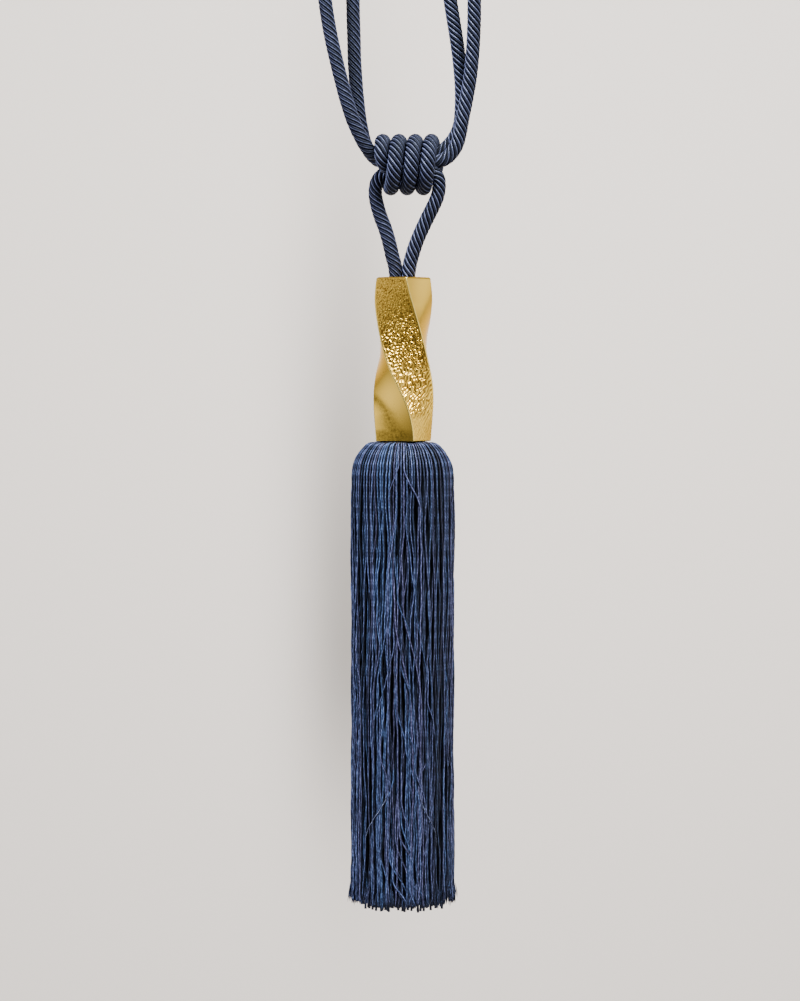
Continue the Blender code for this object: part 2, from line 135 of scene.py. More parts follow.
LOOP_BACK = [
    (0.2, 3.02, 3.02, 0.84), (-4, 3.6, 2.4, 0.84), (-8, 4.1, 1.4, 0.84),
    (-11.4, 4.8, 1.9, 0.88), (-14.3, 5.6, 4.6, 0.96), (-16.7, 5.5, 8.3, 1),
    (-18.3, 4.8, 12.2, 1), (-19.3, 4.1, 16.8, 1),
    *full_size(LOOP_PLANE, [
        (-20.2, 21.5), (-21.4, 31.9), (-22.1, 40.4), (-22.7, 49.8), (-22.9, 59.3),
        (-23.2, 68.7), (-23.4, 78.2), (-23.6, 92), (-23.4, 108), (-22, 122),
        (-18.9, 134.5), (-13.6, 144), (-7.1, 149.1), (0, 150.5), (6.6, 149.1),
        (12.4, 144), (16.7, 134.5), (19, 122), (20.2, 108), (21, 92), (22.4, 78.2),
        (23.9, 68.7), (25.4, 59.3), (26.7, 49.8), (27.6, 40.4), (27.9, 31.9),
        (27.7, 25.3)
    ]),
    (27.2, 3.6, 20, 1), (25.9, 3.3, 15.6, 1), (23.8, 3, 11.9, 1), (21.2, 2.7, 8.8, 1),
    (18.2, 2.5, 6.2, 0.97), (14.8, 2.7, 4.4, 0.91), (11, 3, 3.3, 0.86),
    (6, 3.02, 3.02, 0.84), (1.2, 3.02, 3.02, 0.84),
]

# ---- skirt tables ----
# In mm: radii from the axis, depths below the collar's foot.

# Middle of an outer yarn as it comes from under the collar and hangs: radius, depth.
HANG = [
    (6, -2), (6.7, 0.3), (8.4, 0.9), (10.4, 0.7), (12.6, 0.3), (14.5, 0.1), (16.4, 0.8),
    (18.1, 2.2), (19.8, 4.2), (21.1, 6.2), (22.2, 8.7), (23, 11.7), (23.5, 16.5),
    (23.7, 24), (23.7, 40), (23.6, 90), (23.6, 140), (23.7, 185), (23.8, 240),
]
# Yarns that lean across the others on the front: X and depth where the lean
# starts, X and depth where it ends.
LEANS = [
    (-3, 26, -7, 72), (0.6, 34, -2.4, 76), (2, 30, 5.4, 74), (-6.2, 70, -12.2, 118),
    (-3.8, 92, -11, 128), (-4.2, 78, 4.4, 124), (-2.2, 72, 2.8, 90),
    (-0.4, 72, 9.2, 122), (6, 72, 12, 117), (-12, 120, -14.6, 131),
    (-9, 128, -11.6, 144), (-3.6, 119, 2, 148), (1.4, 126, 6.4, 149),
    (11.8, 121, 14.6, 131), (-4, 156, -7.8, 173), (6.6, 152, 11, 170),
    (-1, 166, 4.9, 189), (-0.6, 176, 3.9, 192), (-1.6, 182, 4.4, 197),
    (-2.9, 186, 2.6, 205), (-12.4, 184, -7.6, 207), (-5.4, 194, 1.1, 211),
    (-4.4, 196, -0.4, 206), (-5, 204, 1.8, 216), (11.6, 184, 5.9, 210),
    (7.2, 203, 3.4, 213), (3.4, 208, 6, 220), (-1.8, 9, -6.4, 25), (0.6, 10, 8.4, 31),
    (-11.4, 98, -14.4, 112), (-1.2, 100, 3.5, 120), (1.5, 139, 8.2, 171),
    (12, 146, 7.8, 157), (-10.7, 147, -7.6, 157), (-2.4, 208, 2.3, 219),
]
# Loose fine ends that stand out on the front, in the same columns.
STRAYS = [(-7.4, 162, -18.6, 185.5), (7.4, 160, 19, 188)]
STRAY_TINT = (3.6, 3.2, 2.3)
QUARTERS = 4  # the front's leans come again at each side


# ---- settings that a user would change ----

class TasselCordSettings(bpy.types.PropertyGroup):
    radius: bpy.props.FloatProperty(
        name="Radius", description="Axis of the cord to the crown of its strands",
        default=3.45 * MM, min=MM, max=8 * MM, unit="LENGTH", precision=5)
    lead: bpy.props.FloatProperty(
        name="Lead", description="Length in which a strand goes once round the cord",
        default=20.0 * MM, min=5 * MM, max=60 * MM, unit="LENGTH", precision=4)
    strands: bpy.props.IntProperty(
        name="Strands", description="Strands twisted together", default=7, min=2, max=12)
    yarns: bpy.props.IntProperty(
        name="Yarns", description="Yarns that show on each strand",
        default=2, min=1, max=5)
    coil_size: bpy.props.FloatProperty(
        name="Coil size", description="How much the wound cord spreads",
        default=1.1, min=0.9, max=1.2, subtype="FACTOR")
    # The cord is painted darker in its grooves, as painted shade, and towards the crest
    # colour along each strand's crest, as a painted highlight.
    colour: bpy.props.FloatVectorProperty(
        name="Colour", description="The cord's colour away from its grooves",
        default=(0.005, 0.006, 0.019), min=0.0, max=1.0, subtype="COLOR")
    crest: bpy.props.FloatVectorProperty(
        name="Crest", description="The cord's colour along the crest of a strand",
        default=(0.083, 0.096, 0.178), min=0.0, max=1.0, subtype="COLOR")


class TasselCollarSettings(bpy.types.PropertyGroup):
    relief: bpy.props.FloatProperty(
        name="Relief", description="Depth of the hammer marks",
        default=0.27 * MM, min=0.0, max=MM, unit="LENGTH", precision=5)
    chamfer: bpy.props.FloatProperty(
        name="Chamfer", description="Width of the flat along each edge",
        default=0.95 * MM, min=0.2 * MM, max=2 * MM, unit="LENGTH", precision=5)
    colour: bpy.props.FloatVectorProperty(
        name="Colour", description="The plating's colour",
        default=(1.0, 0.65, 0.098), min=0.0, max=1.0, subtype="COLOR")
    # The hollows of the hammer marks are coloured darker, towards this colour.
    recess: bpy.props.FloatVectorProperty(
        name="Recess", description="The darker colour left in the hammer marks",
        default=(0.20, 0.092, 0.012), min=0.0, max=1.0, subtype="COLOR")


class TasselSkirtSettings(bpy.types.PropertyGroup):
    length: bpy.props.FloatProperty(
        name="Length", description="Collar to the ends of the outer yarns",
        default=217.6 * MM, min=100 * MM, max=300 * MM, unit="LENGTH", precision=4)
    yarn_radius: bpy.props.FloatProperty(
        name="Yarn radius", description="Middle of a yarn to its outside",
        default=0.52 * MM, min=0.2 * MM, max=1.5 * MM, unit="LENGTH", precision=5)
    outer: bpy.props.IntProperty(
        name="Outer yarns", description="Yarns of the outermost layer",
        default=90, min=20, max=92)
    under: bpy.props.IntProperty(
        name="Under yarns", description="Yarns of the layer just under it",
        default=90, min=20, max=120)
    # A yarn is painted towards the crest colour along its outermost line, as a painted
    # highlight, and darker round its sides and back, as painted shade.
    colour: bpy.props.FloatVectorProperty(
        name="Colour", description="The yarn's colour on its sides",
        default=(0.014, 0.018, 0.054), min=0.0, max=1.0, subtype="COLOR")
    crest: bpy.props.FloatVectorProperty(
        name="Crest", description="The yarn's colour along its outermost line",
        default=(0.120, 0.162, 0.345), min=0.0, max=1.0, subtype="COLOR")


class TasselStageSettings(bpy.types.PropertyGroup):
    backdrop: bpy.props.FloatVectorProperty(
        name="Backdrop", description="Colour of the floor and the backdrop",
        default=(0.80, 0.742, 0.692), min=0.0, max=1.0, subtype="COLOR")
    key: bpy.props.FloatProperty(
        name="Key light", description="Power of the key light, in watts",
        default=36.0, min=0.0, max=200.0)
    camera_distance: bpy.props.FloatProperty(
        name="Camera distance", description="Camera to the tassel's axis",
        default=1.56, min=0.5, max=5.0, unit="LENGTH")


# ---- lines ----

def smooth_line(points, parts=10):
    """Read a centripetal Catmull-Rom curve through points of four numbers."""
    knots = [Vector(point) for point in points]
    knots = [2 * knots[0] - knots[1]] + knots + [2 * knots[-1] - knots[-2]]
    line = []
    for a, b, c, d in zip(knots, knots[1:], knots[2:], knots[3:]):
        t1 = math.sqrt((b - a).xyz.length)
        t2 = t1 + math.sqrt((c - b).xyz.length)
        t3 = t2 + math.sqrt((d - c).xyz.length)
        for part in range(parts):
            t = t1 + (t2 - t1) * part / parts
            ab = a.lerp(b, t / t1)
            bc = b.lerp(c, (t - t1) / (t2 - t1))
            cd = c.lerp(d, (t - t2) / (t3 - t2))
            line.append(ab.lerp(bc, t / t2).lerp(bc.lerp(cd, (t - t1) / (t3 - t1)),
                                                 (t - t1) / (t2 - t1)))
    line.append(knots[-2])
    return line


def spaced_line(line, spacing):
    """Walk a line of four-number points in even steps of about the spacing."""
    travelled = [0.0]
    for a, b in zip(line, line[1:]):
        travelled.append(travelled[-1] + (b - a).xyz.length)
    steps = round(travelled[-1] / spacing)
    walked = []
    at = 0
    for step in range(steps + 1):
        target = travelled[-1] * step / steps
        while at < len(line) - 2 and travelled[at + 1] < target:
            at += 1
        share = (target - travelled[at]) / (travelled[at + 1] - travelled[at])
        walked.append(line[at].lerp(line[at + 1], min(share, 1.0)))
    return walked


def headings(points):
    """The way that a line goes at each of its points."""
    last = len(points) - 1
    return [(points[min(index + 1, last)] - points[max(index - 1, 0)]).normalized()
            for index in range(last + 1)]


def side_directions(points):
    """Two directions square to the line at each point, which don't spin along it."""
    sides = []
    side = Vector((0.0, 1.0, 0.0))
    for ahead in headings(points):
        side = (side - ahead * side.dot(ahead)).normalized()
        sides.append((side, ahead.cross(side)))
    return sides


def hung_directions(points):
    """Outward and sideways directions at each point of a yarn on the skirt."""
    sides = []
    for point, ahead in zip(points, headings(points)):
        across = Vector((point.y, -point.x, 0.0))
        across = (across - ahead * across.dot(ahead)).normalized()
        sides.append((across.cross(ahead), across))
    return sides


def eased(share):
    """Ease a share in and out, held between 0 and 1."""
    share = min(1.0, max(0.0, share))
    return share * share * (3 - 2 * share)


def polar(angle, reach=1.0):
    """X and Y, or any two such sides, of a spot at that angle and reach."""
    return reach * math.cos(angle), reach * math.sin(angle)


def past(place, change):
    """How far a place is through a change, given as its start and its length."""
    return eased((place - change[0]) / change[1])


def round_section(radius, corners, crown, turn=0.0):
    """A round section's corners, with one crown value all round."""
    angles = [math.tau * corner / corners + turn for corner in range(corners)]
    return [(*polar(angle, radius), crown, angle) for angle in angles]


# ---- meshes ----

class Strands:
    """Gathers many round strands, to be made one mesh with its surface values."""

    def __init__(self):
        self.points, self.faces = [], []
        self.values = {"lay": [], "crown": [], "tint": []}

    def add(self, points, rings, tint, directions=side_directions):
        """A closed strand: rings holds, at each point of its line, the section's
        corners as (across, up, crown, turn), with turn the corner's own angle."""
        corners = len(rings[0])
        base = len(self.points)
        along = 0.0
        before = points[0]
        for (side, up), ring, point in zip(directions(points), rings, points):
            along += (point - before).length
            before = point
            for across, rise, crown, turn in ring:
                self.points.append(point + side * across + up * rise)
                self.values["lay"].append((*polar(turn), along / MM))
                self.values["crown"].append(crown)
                self.values["tint"].append(tint)
        for ring in range(len(rings) - 1):
            low = base + ring * corners
            for corner in range(corners):
                after = (corner + 1) % corners
                self.faces.append((low + corner, low + after,
                                   low + corners + after, low + corners + corner))
        last = base + (len(rings) - 1) * corners
        self.faces.append(tuple(range(base + corners - 1, base - 1, -1)))
        self.faces.append(tuple(range(last, last + corners)))

    def make(self, name, material):
        mesh = bpy.data.meshes.new(name)
        mesh.from_pydata(self.points, [], self.faces)
        mesh.attributes.new("crown", "FLOAT", "POINT").data.foreach_set(
            "value", self.values["crown"])
        for key in ("lay", "tint"):
            mesh.attributes.new(key, "FLOAT_VECTOR", "POINT").data.foreach_set(
                "vector", [number for value in self.values[key] for number in value])
        mesh.shade_smooth()
        mesh.materials.append(material)
        piece = bpy.data.objects.new(name, mesh)
        bpy.context.scene.collection.objects.link(piece)
        return piece


# ---- materials ----

class Nodes:
    """A node tree, with short ways to add and join its nodes."""

    def __init__(self, tree):
        self.tree = tree

    def node(self, kind, **values):
        """Add a node: settings by attribute name, inputs by number as in_0."""
        node = self.tree.nodes.new("ShaderNode" + kind)
        for key, value in values.items():
            if key.startswith("in_"):
                self.feed(node.inputs[int(key[3:])], value)
            else:
                setattr(node, key, value)
        return node

    def feed(self, socket, value):
        if isinstance(value, bpy.types.NodeSocket):
            self.tree.links.new(value, socket)
        else:
            socket.default_value = value

    def attribute(self, name, output):
        return self.node("Attribute", attribute_name=name).outputs[output]

    def maths(self, operation, *values):
        inputs = {f"in_{i}": value for i, value in enumerate(values)}
        return self.node("Math", operation=operation, **inputs).outputs[0]

    def noise(self, where, scale, detail, stretch=(1.0, 1.0, 1.0)):
        place = self.node("Mapping", in_0=where, in_3=stretch)
        return self.node("TexNoise", in_0=place.outputs[0], in_2=scale,
                         in_3=detail).outputs[0]

    def mix(self, factor, first, second, blend="MIX"):
        mix = self.node("Mix", data_type="RGBA", blend_type=blend)
        for number, value in ((0, factor), (6, first), (7, second)):
            self.feed(mix.inputs[number], value)
        return mix.outputs[2]

    def ranged(self, value, low, high, out_low, out_high):
        return self.node("MapRange", in_0=value, in_1=low, in_2=high,
                         in_3=out_low, in_4=out_high).outputs[0]

    def parts(self, vector):
        return self.node("SeparateXYZ", in_0=vector).outputs

    def hump(self, value, middle, width):
        """A soft hump of height 1 where the value is near its middle."""
        away = self.maths("DIVIDE", self.maths("SUBTRACT", value, middle), width)
        return self.maths("EXPONENT", self.maths(
            "MULTIPLY", self.maths("MULTIPLY", away, away), -1.0))


class Finish(Nodes):
    """A material and its node tree."""

    def __init__(self, name):
        self.material = bpy.data.materials.new(name)
        self.material.use_nodes = True
        super().__init__(self.material.node_tree)
        self.shader = self.tree.nodes["Principled BSDF"]

    def drive(self, **sockets):
        for name, value in sockets.items():
            self.feed(self.shader.inputs[name.replace("_", " ")], value)


def rgba(colour, share=1.0):
    """A colour, or a darker share of it, for a socket."""
    return (*[channel * share for channel in colour], 1.0)


def relief_normal(finish, height, distance, strength):
    """Very fine relief, below what the mesh holds."""
    bump = finish.node("Bump")
    bump.inputs["Strength"].default_value = strength
    bump.inputs["Distance"].default_value = distance
    finish.tree.links.new(height, bump.inputs["Height"])
    return bump.outputs["Normal"]


FIBRES = (7.0, 7.0, 0.8)  # noise cells per unit of the lay: long and thin
PATCHES = (0.6, 0.6, 0.12)  # likewise, for its lighter and darker stretches
# GROOVE_SHADE is painted shade: the share of the colour that is left in a groove.
GROOVE_SHADE = 0.02  # share of the colour that is left in a groove
# PLY_SHADE paints the plies lighter and darker as they turn: painted light and shade;
# PLY_RELIEF is their bump.
PLY_SHADE = 0.28
PLY_RELIEF = 0.2
YARN_GLEAM = (0.68, 0.79, 1.0, 1.0)


def yarn_finish(name, settings, roughness, lustre, ply=0.0):
    """Lustrous yarn: painted shade in its grooves and a painted highlight on its crests,
    with fine fibres along its lay and, where it's given, two plies that turn ply mm
    apart, painted lighter and darker as they turn."""
    if name in bpy.data.materials:
        return bpy.data.materials[name]
    finish = Finish(name)
    lay = finish.attribute("lay", "Vector")
    fibres = finish.noise(lay, 1.0, 3.0, FIBRES)
    patches = finish.noise(lay, 1.0, 2.0, PATCHES)
    # Painted light: the colour falls towards GROOVE_SHADE where the crown is low, as
    # painted shade, and the crest, the crown's narrow top, brings in the crest colour as
    # a painted highlight.
    crown = finish.maths("POWER", finish.attribute("crown", "Fac"), 2.2)
    crest = finish.maths("POWER", crown, 3.0)
    depth = finish.mix(crown, rgba(settings.colour, GROOVE_SHADE), rgba(settings.colour))
    depth = finish.mix(crest, depth, rgba(settings.crest))
    light = finish.maths("ADD", finish.ranged(fibres, 0.33, 0.67, 0.5, 1.45),
                         finish.ranged(patches, 0.3, 0.7, -0.25, 0.25))
    height = fibres
    if ply:
        x, y, along = finish.parts(lay)
        turned = finish.maths("MULTIPLY", finish.maths("ARCTAN2", y, x), 2.0)
        turns = finish.maths("COSINE", finish.maths(
            "MULTIPLY_ADD", along, math.tau / ply, turned))
        light = finish.maths("MULTIPLY_ADD", turns, PLY_SHADE, light)
        height = finish.maths("MULTIPLY_ADD", turns, PLY_RELIEF, fibres)
    shade = finish.node("CombineColor", in_0=light, in_1=light, in_2=light)
    depth = finish.mix(1.0, depth, finish.attribute("tint", "Vector"), "MULTIPLY")
    rough = finish.ranged(fibres, 0.3, 0.7, roughness - 0.08, roughness + 0.1)
    finish.drive(
        Base_Color=finish.mix(1.0, depth, shade.outputs[0], "MULTIPLY"),
        Roughness=finish.node("Mix", in_0=crown, in_2=0.95, in_3=rough).outputs[0],
        Specular_IOR_Level=lustre, Specular_Tint=YARN_GLEAM,
        Normal=relief_normal(finish, height, 0.03 * MM, 0.6))
    return finish.material


# ---- cords ----

CORD_SPACING = 0.62 * MM  # between two rings of a cord's mesh
CORNERS_PER_YARN = 4
GROOVE_DEPTH = 0.24  # between two strands, as a share of the radius
YARN_GROOVE = 0.10  # between two yarns, likewise
# Painted light: one flank of each strand is painted lighter and the other darker, as if
# lit from one side.
FLANK_PAINTED_LIGHT = (1.15, 0.75)  # how light a strand's two flanks are
COIL_TWIST = 0.2  # how much tighter the twist is where it's wound
WOUND = (1.03, 0.05)  # the thickness at which that starts, and its rise


def coil_turns(size):
    """Route rows of the coil, from the top of its right-hand turn leftwards."""
    rows = []
    for step in range(COIL_FULL_TURNS * COIL_POINTS_PER_TURN + 1):
        turn = step / COIL_POINTS_PER_TURN
        angle = math.tau * turn
        rows.append(((COIL_RIGHT - COIL_PITCH * turn) / MM,
                     -COIL_RADIUS * math.sin(angle) / MM,
                     COIL_RADIUS * math.cos(angle) / MM, size))
    return rows


def cord_section(strands, yarns):
    """The cord's section as (angle, share of the radius, crown)."""
    per_strand = yarns * CORNERS_PER_YARN
    section = []
    for corner in range(strands * per_strand):
        across = 2 * (corner % per_strand) / per_strand - 1
        yarn = abs(math.sin(math.pi * yarns * (across + 1) / 2))
        share = 1 - GROOVE_DEPTH * across ** 2 - YARN_GROOVE * (1 - yarn)
        angle = math.tau * corner / (strands * per_strand)
        # The crown lays the painted shade in the grooves and the painted highlight on
        # each strand's crest, higher on one flank than the other.
        flank = FLANK_PAINTED_LIGHT[0] if across < 0 else FLANK_PAINTED_LIGHT[1]
        section.append((angle, share, min(
            1.0, (0.35 + 0.65 * yarn) * flank * (1 - abs(across) ** 3))))
    return section


def make_cord(name, route, settings):
    """Lay a twisted cord along its route, in place of the plain one of that name."""
    rows = [(x * MM, y * MM, z * MM, size) for x, y, z, size in route]
    walked = spaced_line(smooth_line(rows), CORD_SPACING)
    points = [row.xyz + Vector((0.0, 0.0, KNOT_HEIGHT)) for row in walked]
    section = cord_section(settings.strands, settings.yarns)
    rings = []
    turn = 0.0
    for row in walked:
        turn -= (math.tau * CORD_SPACING / settings.lead
                 * (1 + COIL_TWIST * past(row[3], WOUND)))
        reach = settings.radius * row[3]
        rings.append([(*polar(angle + turn, reach * share), crown, angle)
                      for angle, share, crown in section])
    strands = Strands()
    strands.add(points, rings, (1.0, 1.0, 1.0))
    piece = strands.make("twisted_" + name, yarn_finish(
        "navy_twisted_cord", settings, roughness=0.27, lustre=0.42))
    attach(piece, "root")
    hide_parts(name)


class TASSEL_OT_loop_cords(bpy.types.Operator):
    """Add the doubled cord that goes over the wall hook"""
    bl_idname = "tassel.loop_cords"
    bl_label = "Loop Cords"

    def execute(self, context):
        make_cord("loop_cord_front", LOOP_FRONT, context.scene.tassel_cord)
        make_cord("loop_cord_back", LOOP_BACK, context.scene.tassel_cord)
        return {"FINISHED"}


class TASSEL_OT_tassel_cord(bpy.types.Operator):
    """Add the tassel's own cord: two legs and the coil of the knot"""
    bl_idname = "tassel.tassel_cord"
    bl_label = "Tassel Cord"

    def execute(self, context):
        settings = context.scene.tassel_cord
        route = LEFT_LEG + coil_turns(settings.coil_size) + RIGHT_LEG
        make_cord("tassel_cord", route, settings)
        return {"FINISHED"}


# ---- collar ----

HAMMERED_PARTS = 84  # columns of faces across a hammered side
SMOOTH_PARTS = 14
CHAMFER_PARTS = 4
COLLAR_ROWS = 336
TOP_ROUND = 1.0 * MM
FOOT_ROUND = 0.3 * MM
EDGE_SHARE = 0.012  # a smooth side's first column, beside its edge

# Where the hammered face changes, in mm below the collar's top: start and length.
CELLS_GROW = (6, 30)  # its pebbles get larger
PEBBLES = (8, 22)  # pits give way to pebbles
RIPPLES = (40, 9)  # pebbles give way to ripples
FADING = (63, 6)  # the ripples fade out
TOP_TONE = (12, 16)  # the top is coloured darker, towards the recess colour, and this clears
PEBBLE_CELL, PEBBLE_GROWTH = 1.0, 0.72  # mm between pebbles near the top, and more
PIT_CELL = 0.85  # mm between pits
WARP, WARP_CELL = 0.9, 4.5  # mm by which the marks are set out of line
LIE = (0.72, 0.69)  # the ripples' direction: down and across the side
RIPPLE_SPACING = 1.55  # mm
HAMMERED_HALF = 9.5  # mm from the middle of a side to its plain margin
MARGIN = 0.6  # mm over which the marks rise from it
RIM_MARGIN = 1.2  # likewise, at the top and the foot


def collar_outline(chamfer):
    """The collar's section once round: x, y, mm across its side, and 1 on the
    hammered sides, 0 on the smooth ones and -1 on the rounded edges."""
    flat = chamfer / 2 / COLLAR_CORNER
    outline = []
    for side in range(4):
        hammered = side % 2
        start, end = [Vector(polar(turn)) * COLLAR_CORNER for turn in
                      (side * math.pi / 2 + flat, (side + 1) * math.pi / 2 - flat)]
        outward = (start + end).normalized()
        width = (end - start).length / MM
        if hammered:
            shares = [part / HAMMERED_PARTS for part in range(HAMMERED_PARTS + 1)]
        else:
            shares = [0.0, EDGE_SHARE,
                      *(part / SMOOTH_PARTS for part in range(1, SMOOTH_PARTS)),
                      1 - EDGE_SHARE, 1.0]
        for share in shares:
            spot = start.lerp(end, share)
            spot = spot + outward * COLLAR_CROWN * 4 * share * (1 - share)
            outline.append((spot.x, spot.y, (share - 0.5) * width, hammered))
        # Round the edge on to the next side, about the corner that it would have.
        turn = (side + 1) * math.pi / 2
        corner = Vector(polar(turn)) * COLLAR_CORNER * (1 + flat)
        after = Matrix.Rotation(2 * flat, 2) @ end
        for part in range(1, CHAMFER_PARTS):
            t = part / CHAMFER_PARTS
            spot = end * (1 - t) ** 2 + corner * 2 * t * (1 - t) + after * t * t
            outline.append((spot.x, spot.y, 0.0, -1))
    return outline


def collar_direction(depth):
    """Direction of the collar's first edge, read smoothly from its twist table."""
    rows = COLLAR_TWIST
    at = 0
    while at < len(rows) - 2 and depth > rows[at + 1][0]:
        at += 1
    (low, start), (high, end) = rows[at], rows[at + 1]
    before, after = rows[max(at - 1, 0)], rows[min(at + 2, len(rows) - 1)]
    span = high - low
    leaving = (end - before[1]) / (high - before[0]) * span
    reaching = (after[1] - start) / (after[0] - low) * span
    t = (depth - low) / span
    return math.radians(
        start * (2 * t ** 3 - 3 * t ** 2 + 1) + leaving * (t ** 3 - 2 * t ** 2 + t)
        + end * (3 * t ** 2 - 2 * t ** 3) + reaching * (t ** 3 - t ** 2))


def dimple(across, depth, cell, layer):
    """Distances to the two nearest marks of a scatter with that cell size."""
    return noise.voronoi(Vector((across / cell, depth / cell, layer)))[0][:2]


def hammer_marks(across, depth):
    """Height of the hammered face, -1 to 1, at a place on it given in mm."""
    warp = WARP * noise.noise(Vector((across / WARP_CELL, depth / WARP_CELL, 11.0)))
    across, depth = across + warp, depth - warp
    cell = PEBBLE_CELL + PEBBLE_GROWTH * past(depth, CELLS_GROW)
    near, second = dimple(across, depth - 22, cell, 7.5)
    pebbles = min(1.0, (second - near) * 2.0) * 1.9 - 1.0
    near = dimple(across, depth, PIT_CELL, 4.5)[0]
    pits = 0.35 * pebbles - 1.3 * max(0.0, 1 - near * 2.1)
    along = across * LIE[0] - depth * LIE[1]
    square = across * LIE[1] + depth * LIE[0]
    bend = noise.noise(Vector((along / 3.0, square / 2.4, 3.0)))
    ripples = 0.9 * math.sin(math.tau * square / RIPPLE_SPACING + 5.5 * bend)
    beaded, rippled = past(depth, PEBBLES), past(depth, RIPPLES)
    height = pits * (1 - beaded) + beaded * (
        pebbles * (1 - rippled) + ripples * rippled)
    ending = past(depth, FADING)
    fine = noise.noise(Vector((across / 0.5, depth / 0.5, 0.0)))
    grain = noise.noise(Vector((across / 0.8 - depth / 1.6, depth / 0.9, 5.0)))
    return height * (1 - 0.85 * ending) + 0.22 * fine + 0.3 * grain * ending


# A painted highlight along the rounded edges.
GOLD_EDGE_HIGHLIGHT = (1.0, 0.74, 0.19, 1.0)
EDGE_DULLING = 0.18  # how much rougher an edge is
GOLD_GLANCE = (0.72, 0.60, 0.42, 1.0)  # its tint where light only grazes it


def collar_finish(settings):
    """Satin gold plate, darker in the hammer marks, with a painted highlight on the
    edges.
    """
    finish = Finish("satin_gold_plate")
    where = finish.node("TexCoord").outputs["Object"]
    grain = finish.noise(where, 900.0, 3.0)
    clouds = finish.noise(where, 60.0, 2.0)
    crown = finish.attribute("crown", "Fac")
    colour = finish.mix(crown, rgba(settings.recess), rgba(settings.colour))
    colour = finish.mix(finish.ranged(clouds, 0.35, 0.65, 0.0, 0.25), colour,
                        rgba(settings.colour, 0.8))
    # edge picks out the rounded edges, for their painted highlight and their rougher
    # finish.
    edge = finish.ranged(crown, 1.05, 1.8, 0.0, 1.0)
    colour = finish.mix(edge, colour, GOLD_EDGE_HIGHLIGHT)
    finish.drive(
        Base_Color=colour, Metallic=1.0, Specular_Tint=GOLD_GLANCE,
        Roughness=finish.maths("MULTIPLY_ADD", edge, EDGE_DULLING, finish.maths(
            "ADD", finish.ranged(grain, 0.3, 0.7, -0.04, 0.05),
            finish.ranged(crown, 0.85, 1.0, 0.34, 0.15))),
        Normal=relief_normal(finish, grain, 0.02 * MM, 0.25))
    return finish.material


def inset_at_rim(depth, rim):
    """How far the collar's rounded rims draw in, rim being the nearer end's distance."""
    rounding = TOP_ROUND if depth < COLLAR_LENGTH / 2 else FOOT_ROUND
    if rim >= rounding:
        return 0.0
    return rounding - math.sqrt(rounding ** 2 - (rounding - rim) ** 2)


class TASSEL_OT_collar(bpy.types.Operator):
    """Add the twisted square collar, hammered on every other side"""
    bl_idname = "tassel.collar"
    bl_label = "Collar"

    def execute(self, context):
        settings = context.scene.tassel_collar
        outline = collar_outline(settings.chamfer)
        columns = len(outline)
        bpy.ops.object.select_all(action="DESELECT")
        bpy.ops.mesh.primitive_grid_add(x_subdivisions=columns,
                                        y_subdivisions=COLLAR_ROWS, size=1.0)
        piece = context.object
        piece.name = "hammered_collar"
        mesh = piece.data
        crowns = []
        for vert in mesh.vertices:
            column = round((vert.co.x + 0.5) * columns) % columns
            depth = (0.5 - vert.co.y) * COLLAR_LENGTH
            x, y, across, hammered = outline[column]
            marks = hammer_marks(across, depth / MM) if hammered > 0 else 0.0
            rim = min(depth, COLLAR_LENGTH - depth)
            margin = min(1.0, (HAMMERED_HALF - abs(across)) / MARGIN)
            marks *= max(0.0, margin) * eased(rim / MM / RIM_MARGIN)
            spot = Vector((x, y))
            for taper, away in zip(COLLAR_TAPERS, (depth, COLLAR_LENGTH - depth)):
                spot *= 1 - taper * max(0.0, 1 - away / COLLAR_TAPER_DEPTH) ** 1.5
            spot = spot + spot.normalized() * (
                marks * settings.relief - inset_at_rim(depth, rim))
            spot = Matrix.Rotation(collar_direction(depth / MM), 2) @ spot
            vert.co = (spot.x + COLLAR_SHIFT, spot.y,
                       COLLAR_TOP - depth * (1 - COLLAR_LIFT / COLLAR_LENGTH))
            darker_top = 0.18 * (1 - past(depth / MM, TOP_TONE))
            # The rounded edges get a crown of 2, which brings in their painted highlight.
            crowns.append(1.0 - hammered if hammered < 1 else
                          min(1.0, max(0.0, 0.86 + 1.15 * marks - darker_top)))
        mesh.attributes.new("crown", "FLOAT", "POINT").data.foreach_set("value", crowns)
        bpy.ops.object.mode_set(mode="EDIT")
        bpy.ops.mesh.select_all(action="SELECT")
        bpy.ops.mesh.remove_doubles(threshold=0.001 * MM)
        bpy.ops.mesh.normals_make_consistent(inside=False)
        bpy.ops.mesh.select_all(action="DESELECT")
        bpy.ops.mesh.select_non_manifold(extend=False)
        bpy.ops.mesh.extrude_edges_move()  # the two rims, to go in to the bore
        bpy.ops.object.mode_set(mode="OBJECT")
        for vert in mesh.vertices:
            if vert.select:
                spot = Vector((vert.co.x - COLLAR_SHIFT, vert.co.y)).normalized()
                spot *= BORE_RADIUS
                vert.co = (spot.x, spot.y, vert.co.z)
        bpy.ops.object.mode_set(mode="EDIT")
        bpy.ops.mesh.bridge_edge_loops()
        bpy.ops.mesh.select_all(action="SELECT")
        bpy.ops.mesh.normals_make_consistent(inside=False)
        bpy.ops.object.mode_set(mode="OBJECT")
        bpy.ops.object.shade_smooth_by_angle(angle=math.radians(50.0))
        mesh.materials.clear()
        mesh.materials.append(collar_finish(settings))
        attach(piece, "root")
        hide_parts("collar")
        return {"FINISHED"}


# ---- skirt ----

YARN_SPACING = 1.32 * MM  # between two rings of an outer yarn
YARN_CORNERS = 6
FINE_CORNERS = 4  # of a fine end's section
PLY_TURN = math.radians(47.0)  # how far its two plies turn from ring to ring
PLY_RIDGE = 0.12  # how far they stand out, as a share of its radius
SEED = 23
FRAYED = 280  # fine ends that stick out of the skirt's edge
SUNK_SHARE = 0.42  # of the yarns, those that sink between the others

